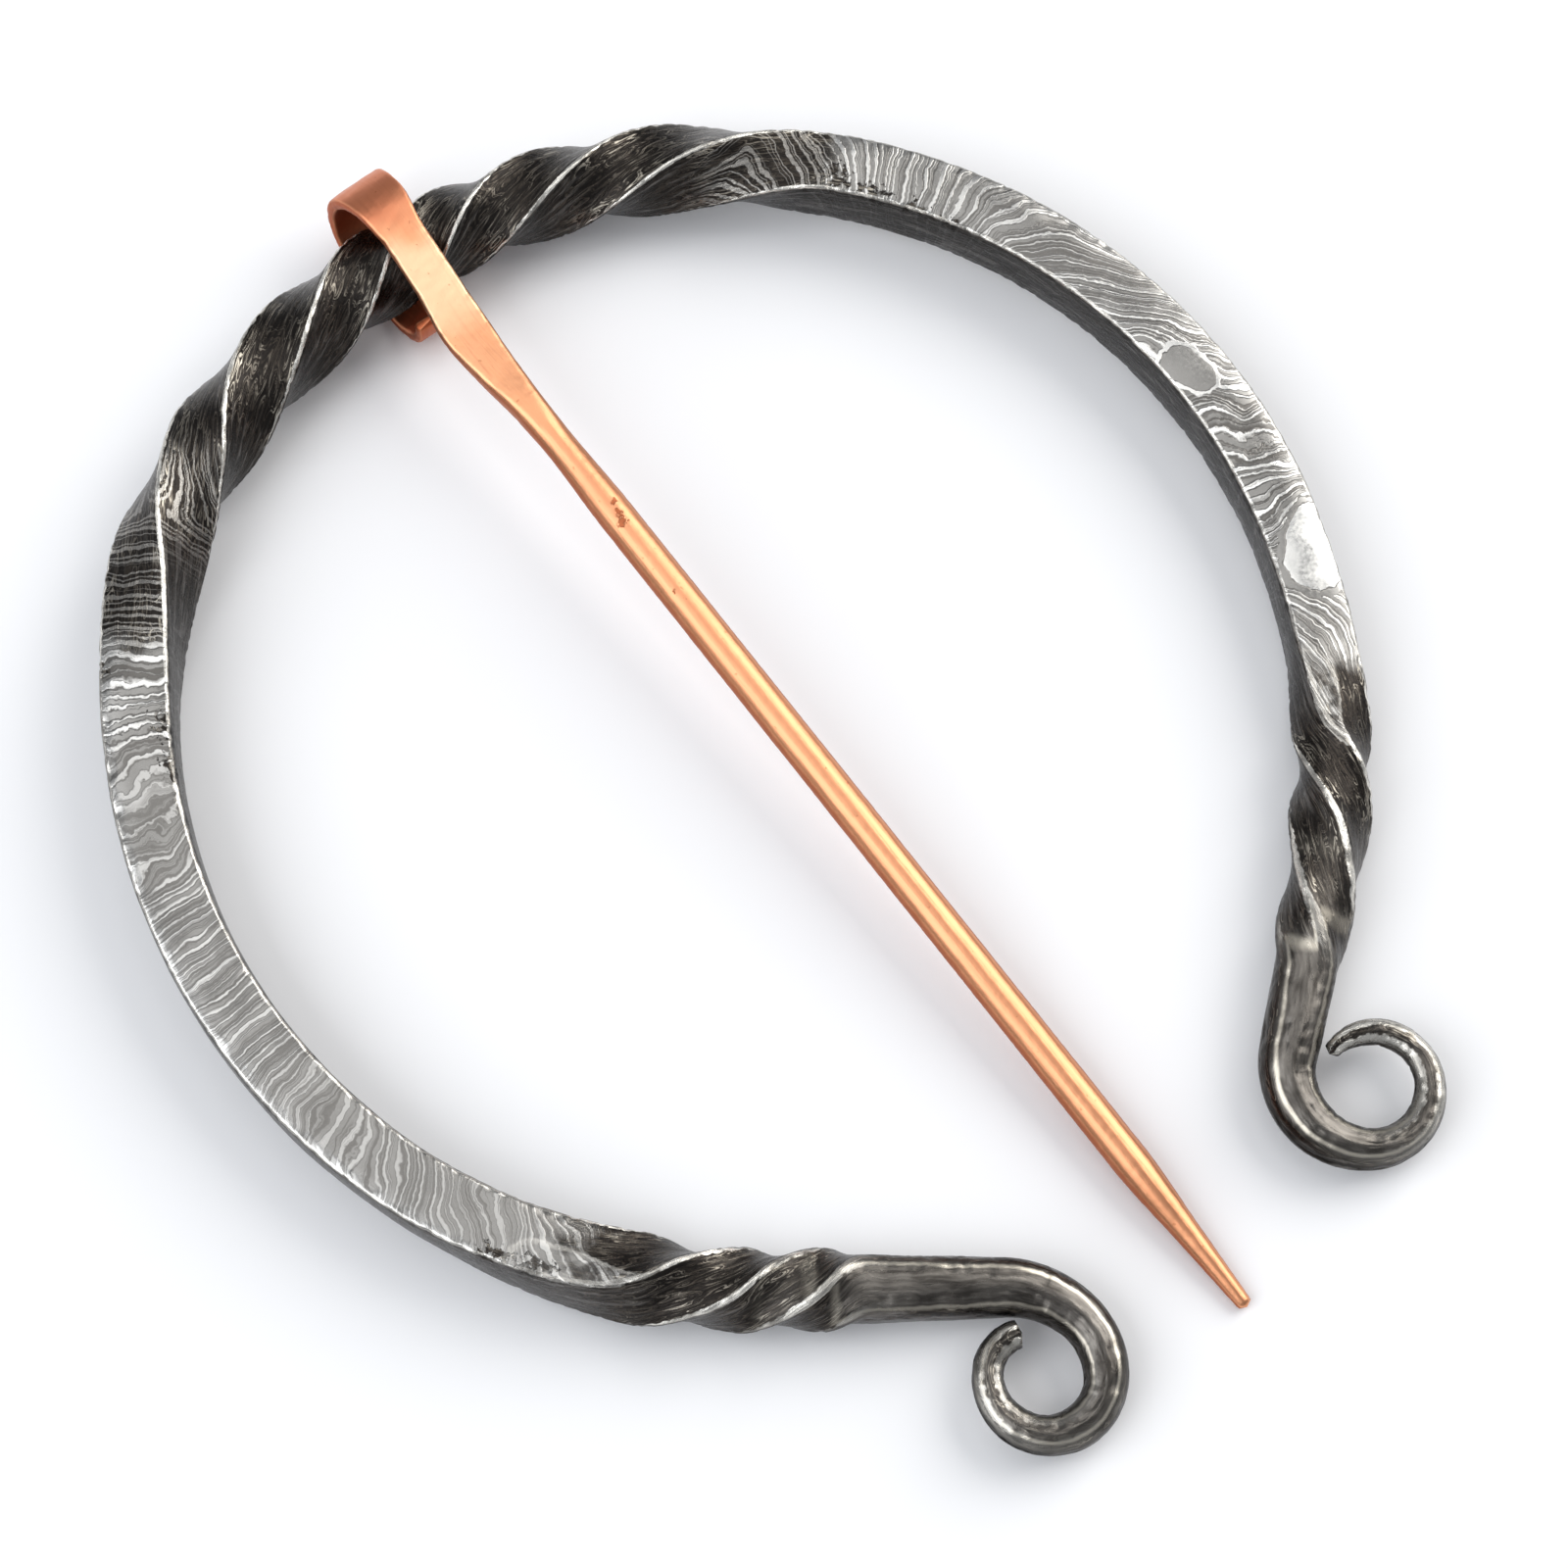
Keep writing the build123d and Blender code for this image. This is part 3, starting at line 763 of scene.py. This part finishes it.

    # Oxide stays in the twists, on the side faces and where the grinding missed; the inner,
    # downward-facing side faces get painted shade
    top = bench.ease(upward, 0.35, 0.85)
    side = bench.ease(bench.size_of(upward), 0.55, 0.85, 0.96, 0.0)
    patchy = bench.times(bench.noise(place, 0.0004, 3.0), 2.2)
    missed = bench.ease(bench.plus(attribute_of(bench, "scale"), patchy), 0.75, 0.95)
    uneven_black = bench.times(bench.noise(place, 0.0014, 3.0), 0.8)
    worn = bench.plus(uneven_black, attribute_of(bench, "black"))
    cover = bench.larger(side, missed)
    cover = bench.larger(bench.ease(worn, 0.2, 0.75), cover)
    ground_flat = attribute_of(bench, "ground_flat")
    bared = bench.ease(bench.noise(place, 0.0009, 3.0), -0.12, 0.12, -0.15, -0.85)
    bared = bench.times_plus(ground_flat, bared, 1.0)
    cover = bench.times(cover, bared)
    dark = mixed(bench, bench.ease(fibres, -0.04, 0.12), oxide, brown_oxide)
    layers_show = bench.times(bench.ease(band, 0.0, 0.06), 0.65)
    layers_show = bench.times(layers_show, bench.ease(contrast, 0.80, 0.87))
    dark = mixed(bench, bench.times(layers_show, top), dark, layer_line)
    # Painted highlights: glints along the oxide's fibres, in patches, stronger near the edges
    near_edge = bench.ease(attribute_of(bench, "edge_gap"), 0.0, 0.0012, 1.0, 0.0)
    painted_highlight_area = bench.ease(bench.noise(place, 0.0018, 3.0), -0.12, 0.16)
    glint = bench.times(bench.ease(fibres, 0.05, 0.15), painted_highlight_area)
    glint = bench.times(glint, bench.times_plus(near_edge, 0.60, 0.25))
    dark = mixed(bench, bench.times(glint, top), dark, painted_highlight_grey)
    # Painted shade: the inner side faces that turn downwards are darkened towards black
    painted_shade_mask = bench.ease(attribute_of(bench, "sideways"), -0.5, 0.1, 0.65, 0.0)
    painted_shade_mask = bench.times(painted_shade_mask, bench.ease(upward, 0.10, 0.70, 1.0, 0.0))
    dark = mixed(bench, painted_shade_mask, dark, painted_shade_black)
    filed = bench.times(bench.ease(streaks, -0.02, 0.22), side)
    dark = mixed(bench, bench.times(filed, 0.6), dark, filed_line)

    # The drawn ends are satin on top, with black rims that are partly oxide and partly painted
    # shade, and two painted highlight lines along their facets
    rounded = bench.ease(attribute_of(bench, "corner"), 0.0004, 0.0011)
    waving = bench.times(bench.noise(place, 0.0016, 2.0), 0.22)
    sideways = bench.plus(attribute_of(bench, "sideways"), waving)
    outer_line = bench.size_of(bench.plus(sideways, 0.38))
    inner_line = bench.size_of(bench.minus(sideways, 0.60))
    facet_highlight = bench.maths("MINIMUM", outer_line, inner_line)
    facet_highlight = bench.ease(facet_highlight, 0.02, 0.17, 1.0, 0.0)
    brushed = bench.times_plus(streaks, 1.6, bench.plus(cloud, 0.30))
    brushed = mixed(bench, brushed, dull_satin, satin)
    # Painted highlights: two bright lines along the facets
    brushed = mixed(bench, bench.times(facet_highlight, 0.95), brushed, painted_highlight_grey)
    # Painted shade: the satin stops high on the top, so the rims stay black well into it
    face = bench.times(rounded, bench.ease(upward, 0.60, 0.90))
    dark = mixed(bench, face, dark, brushed)
    colour = mixed(bench, cover, steel, dark)

    # The twists' crests and the long edges are bright, partly rubbed by handling and partly painted
    # highlight, less where they are ground
    inputs = {"Crest": attribute_of(bench, "crest"), "Place": place, "Width": 0.82, "Breakup": 1.9}
    edge = grouped(bench, worn_and_highlit_edge, inputs)
    uneven = bench.ease(bench.noise(place, 0.0020, 2.0), -0.2, 0.1, 0.35, 1.0)
    blunt = bench.times_plus(ground_flat, -0.75, 1.0)
    blunt = bench.times(blunt, bench.minus(1.0, rounded))
    ridge = bench.times(bench.times(edge, uneven), blunt)
    # Painted highlight: only crests that face upwards are brightened
    ridge = bench.times(ridge, bench.ease(upward, 0.2, 0.7))
    twisted = bench.ease(attribute_of(bench, "black"), 0.1, 0.7, 0.5, 1.0)
    ridge = bench.times(ridge, twisted)
    brink = bench.size_of(bench.minus(ground_flat, 0.5))
    brink = bench.times(bench.ease(brink, 0.20, 0.45, 0.4, 0.0), uneven)
    ridge = bench.larger(ridge, bench.times(brink, blunt))
    colour = mixed(bench, ridge, colour, rubbed_and_highlight)

    # The two steels are etched to two levels, and the black oxide is rougher and fibrous
    bare_rough, oxide_rougher = 0.23, 0.08
    etch_depth, fibre_height, grain_height, scale_depth = 0.000010, 0.00003, 0.00002, 0.00004
    rough = bench.times_plus(cover, oxide_rougher, bare_rough)
    rough = bench.times_plus(nickel, -0.04, rough)
    mottled = bench.times_plus(rounded, -0.18, 0.25)
    rough = bench.plus(rough, bench.times(grain, mottled))
    rough = bench.times_plus(ridge, -0.06, rough)
    etched = bench.times(bench.minus(nickel, border), contrast)
    bare = bench.minus(1.0, cover)
    height = bench.times(bench.times(etched, bare), etch_depth)
    relief = bench.times(bench.plus(streaks, fibres), fibre_height)
    relief = bench.times_plus(grain, grain_height, relief)
    smoother = bench.times_plus(rounded, -0.7, 1.0)
    relief = bench.times(relief, bench.times(cover, smoother))
    height = bench.plus(height, relief)
    height = bench.times_plus(missed, -scale_depth, height)
    dressed(bench, colour, 0.95, rough, height)
    return material


def layer_count(places):
    """Adds how many layers lie between the first place and each other one."""
    total = 0.0
    for index, place in enumerate(places):
        if index:
            total += (place.middle - places[index - 1].middle).length / place.facts["pitch"]
        place.facts["layer"] = total
    return places


hoop_section = section_outline("hoop_section", flat_points=14, corner_points=4)
hoop_metal = patterned_steel()
hoop_tree = forged_bar_tree("forged_hoop", {"knots": knots, "scale": scale_patches})
hoop_relief = {
    "Crown": 0.00007, "Lump Height": 0.00012, "Lump Size": 0.0035, "Dent Depth": 0.00014,
    "Dent Size": 0.0016, "Pit Depth": 0.00005, "Pit Size": 0.0005, "Nick Depth": 0.00008,
}
places = layer_count(leant(hoop_places()))
hoop = forge("steel_hoop", hoop_tree, places, hoop_section, hoop_metal, hoop_relief)
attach(hoop, "hoop")
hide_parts("hoop")


# The pin: one copper rod. Its end is hammered flat, rolled round the bar and left a little
# open underneath, and the rest stays round and is filed to a blunt point. It was polished
# after forging; its lower sides are coloured darker, and oxide is left in streaks and in a few
# scars.
shaft = 0.0023
strip = 0.0008
strip_width = 0.0040
pin_reach = 0.0833
tip_taper = 0.0110
tip = 0.0009
shaft_start = 0.0230
neck_length = 0.0143
roll_gap = 0.0004
roll_back = 0.0015
roll_front = 0.0010
roll_closing = 105.0
pin_step = 0.00020
strip_edge = 0.6
most_round = 0.995
forged_rough = 0.40
drawn_smoother = 0.04
drawn_dents = 0.15

# The strip of the roll, from over the bar round to its free end, in shares of its length
Hammered = namedtuple("Hammered", "along left right thick")
roll_stations = (
    Hammered(0.00, 0.48, 0.20, 1.00),
    Hammered(0.12, 0.60, 0.25, 1.00),
    Hammered(0.33, 0.61, 0.40, 1.00),
    Hammered(0.62, 0.50, 0.50, 1.00),
    Hammered(1.00, 0.40, 0.48, 0.85),
)
# The neck and shaft, from over the bar to the tip: the place in metres, the widths to each
# side and the height as shares of the shaft, and how far the edges are rounded
Drawn = namedtuple("Drawn", "along left right height edge")
drawn_stations = (
    Drawn(0.0, 0.48 * strip_width / shaft, 0.20 * strip_width / shaft, strip / shaft, 0.60),
    Drawn(0.27 * neck_length, 0.70, 0.50, 0.37, 0.60),
    Drawn(0.55 * neck_length, 0.57, 0.74, 0.44, 0.55),
    Drawn(0.77 * neck_length, 0.47, 0.63, 0.61, 0.55),
    Drawn(1.00 * neck_length, 0.41, 0.46, 0.84, 0.62),
    Drawn(1.20 * neck_length, 0.43, 0.43, 0.87, 0.96),
    Drawn(shaft_start, 0.50, 0.50, 1.00, 0.99),
    Drawn(pin_reach - tip_taper, 0.50, 0.50, 1.00, 0.99),
    Drawn(pin_reach - 0.5 * tip_taper, 0.348, 0.348, 0.696, 0.99),
    Drawn(pin_reach, 0.5 * tip / shaft, 0.5 * tip / shaft, tip / shaft, 0.99),
)


def pin_places():
    """The pin from the free end of its roll, round the bar, and along the shaft to its tip."""
    flat = bar * right_stations[0].side / 2 - bar_corner
    roll_middle = flat * sqrt(2) + bar_corner + roll_gap + strip / 2
    roll = (
        Bend("top", roll_back, 0.0),
        Bend("fold", roll_middle, 180.0),
        Bend("underside", roll_back + roll_front, 0.0),
        Bend("upturned end", roll_middle, roll_closing),
    )
    roll_length = length_of(roll)
    aside = Vector((-shaft_way.y, shaft_way.x, 0)).normalized()
    rise = shaft_way.cross(aside)
    count = round((roll_length + pin_reach) / pin_step)
    found = []
    for index in range(count + 1):
        along = -roll_length + (roll_length + pin_reach) * index / count
        if along < 0:
            x, z, heading = place_on(roll, 180.0, 1, -along)
            share = -along / roll_length
            left = strip_width * blend(roll_stations, share, "left")
            right = strip_width * blend(roll_stations, share, "right")
            height = strip * blend(roll_stations, share, "thick")
            corner = strip_edge * height / 2
            ahead = -shaft_way * cos(radians(heading)) - rise * sin(radians(heading))
        else:
            x, z, ahead = along, 0.0, shaft_way
            left = shaft * blend(drawn_stations, along, "left")
            right = shaft * blend(drawn_stations, along, "right")
            height = shaft * blend(drawn_stations, along, "height")
            corner = height / 2 * blend(drawn_stations, along, "edge")
        kept = domed(min(along + roll_length, pin_reach - along))
        offset = shaft_way * x + rise * (roll_middle + z) + aside * (left - right) / 2
        middle = seat + offset
        smooth = min(max(along / neck_length, 0.0), 1.0)
        facts = {
            "along": along,
            "hammer": 1 - (1 - drawn_dents) * smooth,
            "roughness": forged_rough - drawn_smoother * smooth,
            "ground": unground,
        }
        half_across, half_over = (left + right) / 2 * kept, height / 2 * kept
        over = ahead.cross(aside)
        corner = min(corner, most_round * min((left + right) / 2, height / 2)) * kept
        found.append(Place(middle, aside, over, aside, half_across, half_over, corner, facts))
    return found


def polished_copper():
    """Warm polished copper with drawn lines, small scars, darker lower sides and painted
    highlights.
    """
    copper = (0.88, 0.40, 0.205, 1)
    pale_copper = (0.95, 0.50, 0.28, 1)
    painted_highlight_copper = (1.0, 0.70, 0.44, 1)
    shaft_copper = (0.72, 0.32, 0.165, 1)
    forged_copper = (0.68, 0.225, 0.115, 1)
    oxide = (0.36, 0.085, 0.030, 1)
    material, bench = material_bench("polished_copper")
    place = attribute_of(bench, "bar_place", "Vector")
    inputs = {"Place": place, "Length": 0.010, "Width": 0.00020, "Meander": 0.6}
    streaks = grouped(bench, drawn_streaks, inputs)
    cloud = bench.noise(place, 0.0030, 2.0)
    grain = bench.noise(place, 0.00025, 3.0)

    # The rolled strip is redder, the flat after it carries a painted highlight, the shaft darker
    tone = bench.times_plus(streaks, 1.4, bench.times(cloud, 0.9))
    colour = mixed(bench, bench.plus(tone, 0.3), copper, pale_copper)
    blurred = bench.times_plus(cloud, 0.004, attribute_of(bench, "along"))
    forged = bench.ease(blurred, -0.0025, 0.0010, 0.85, 0.0)
    forged = bench.larger(forged, bench.ease(streaks, 0.0, 0.25, 0.0, 0.55))
    colour = mixed(bench, forged, colour, forged_copper)
    # Painted highlight: the flat where the strip bends down from the roll is brightened
    before_neck = bench.ease(blurred, 0.0050, 0.0085, 1.0, 0.0)
    painted_highlight_area = bench.times(bench.ease(blurred, 0.0, 0.0020), before_neck)
    colour = mixed(bench, bench.times(painted_highlight_area, 0.75), colour, painted_highlight_copper)
    colour = mixed(bench, bench.ease(blurred, 0.0105, 0.0180, 0.0, 0.8), colour, shaft_copper)

    # The lower sides are coloured darker towards the oxide colour, with specks and scars elsewhere,
    # and the edges are paler
    down = bench.ease(attribute_of(bench, "upward"), 0.30, 0.75, 1.0, 0.0)
    patchy = bench.times_plus(bench.noise(place, 0.0009, 4.0), 0.5, down)
    lower_sides_darker = bench.times(bench.ease(patchy, 0.2, 1.1), 0.8)
    speck = bench.times(bench.ease(bench.noise(place, 0.0004, 3.0), 0.17, 0.24), 0.4)
    scar = bench.times_plus(grain, 1.4, attribute_of(bench, "scale"))
    scar = bench.times(bench.ease(scar, 0.5, 0.75), 0.8)
    stain = bench.larger(bench.larger(lower_sides_darker, speck), scar)
    colour = mixed(bench, stain, colour, oxide)
    # The strip's edges are paler, partly as wear and partly as painted highlight on their bevels
    inputs = {"Crest": attribute_of(bench, "crest"), "Place": place, "Width": 0.35, "Breakup": 0.5}
    edge = grouped(bench, worn_and_highlit_edge, inputs)
    flat = bench.ease(attribute_of(bench, "corner"), 0.0003, 0.0006, 0.2, 0.0)
    colour = mixed(bench, bench.times(edge, flat), colour, pale_copper)
    stain_rougher, streaks_rougher = 0.15, 0.20
    streak_height, grain_height, scar_depth = 0.000014, 0.000008, 0.00004
    rough = bench.times_plus(stain, stain_rougher, attribute_of(bench, "roughness"))
    rough = bench.times_plus(streaks, streaks_rougher, rough)
    height = bench.times(streaks, streak_height)
    height = bench.times_plus(grain, grain_height, height)
    height = bench.times_plus(scar, -scar_depth, height)
    dressed(bench, colour, 1.0, rough, height)
    return material


# Dents and scratches that the polishing left on the shaft
pin_scars = (
    Patch(0.0222, 0.0002, 0.0011, 0.0003),
    Patch(0.0229, 0.0000, 0.0011, 0.0003),
    Patch(0.0236, -0.0002, 0.0011, 0.0004),
    Patch(0.0290, -0.0003, 0.0011, 0.0002),
)
pin_section = section_outline("pin_section", flat_points=8, corner_points=5)
pin_metal = polished_copper()
pin_tree = forged_bar_tree("forged_pin", {"knots": (), "scale": pin_scars})
pin_relief = {
    "Crown": 0.00003, "Lump Height": 0.00003, "Lump Size": 0.0025, "Dent Depth": 0.00004,
    "Dent Size": 0.0014, "Pit Depth": 0.00005, "Pit Size": 0.0004, "Nick Depth": 0.00001,
}
pin = forge("copper_pin", pin_tree, pin_places(), pin_section, pin_metal, pin_relief)
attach(pin, "pin")
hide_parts("pin")


# The surface: a plain white sheet, with three soft boxes of light above it
floor_half = 1.5
sheet_white = (0.93, 0.93, 0.94, 1)
sheet_rough = 0.8
white_sheet, bench = material_bench("white_sheet")
dressed(bench, sheet_white, 0.0, sheet_rough)
floor_mesh = bpy.data.meshes.new("floor")
quarters = ((-1, -1), (1, -1), (1, 1), (-1, 1))
floor_corners = [(x * floor_half, y * floor_half, 0) for x, y in quarters]
floor_mesh.from_pydata(floor_corners, [], [(0, 1, 2, 3)])
floor = bpy.data.objects.new("floor", floor_mesh)
floor_mesh.materials.append(white_sheet)
bpy.context.scene.collection.objects.link(floor)


def soft_box(name, place, size, brightness, colour):
    """A square light that faces the middle of the sheet; brightness 1 looks plain white."""
    light = bpy.data.lights.new(name, "AREA")
    watts = brightness * 4 * size ** 2
    light.size, light.energy, light.color = size, watts, colour
    lamp = bpy.data.objects.new(name, light)
    lamp.location = place
    lamp.rotation_euler = (-Vector(place)).to_track_quat("-Z", "Y").to_euler()
    bpy.context.scene.collection.objects.link(lamp)


soft_box("key", (0.36, 0.26, 0.36), 0.46, 2.7, (1.0, 0.985, 0.96))
soft_box("fill", (-0.38, -0.18, 0.42), 0.52, 1.9, (0.94, 0.965, 1.0))
soft_box("top", (-0.048, 0.132, 0.583), 0.37, 0.95, (1.0, 1.0, 1.0))
world = bpy.data.worlds.new("studio")
world.use_nodes = True
around = world.node_tree.nodes["Background"].inputs
around["Color"].default_value = (0.92, 0.95, 1.0, 1)
around["Strength"].default_value = 0.36
bpy.context.scene.world = world
bpy.context.scene.view_settings.view_transform = "Standard"

# The camera: a long lens above the near side, that looks down at the steep angle of the photo
camera_above = 71.5
camera_distance = 0.210
pixels_of_focus = 3500
pixels_across = 1600
look_from_seat = Vector((0.02437, -0.03344, 0))
lens = bpy.data.cameras.new("camera")
lens.sensor_width = 36
lens.lens = lens.sensor_width * pixels_of_focus / pixels_across
lens.clip_start, lens.clip_end = 0.01, 10
camera = bpy.data.objects.new("camera", lens)
rise = radians(camera_above)
look_at = Vector((seat.x, seat.y, 0)) + look_from_seat
camera.location = look_at + Vector((0, -cos(rise), sin(rise))) * camera_distance
camera.rotation_euler = (pi / 2 - rise, 0, 0)
bpy.context.scene.collection.objects.link(camera)
bpy.context.scene.camera = camera
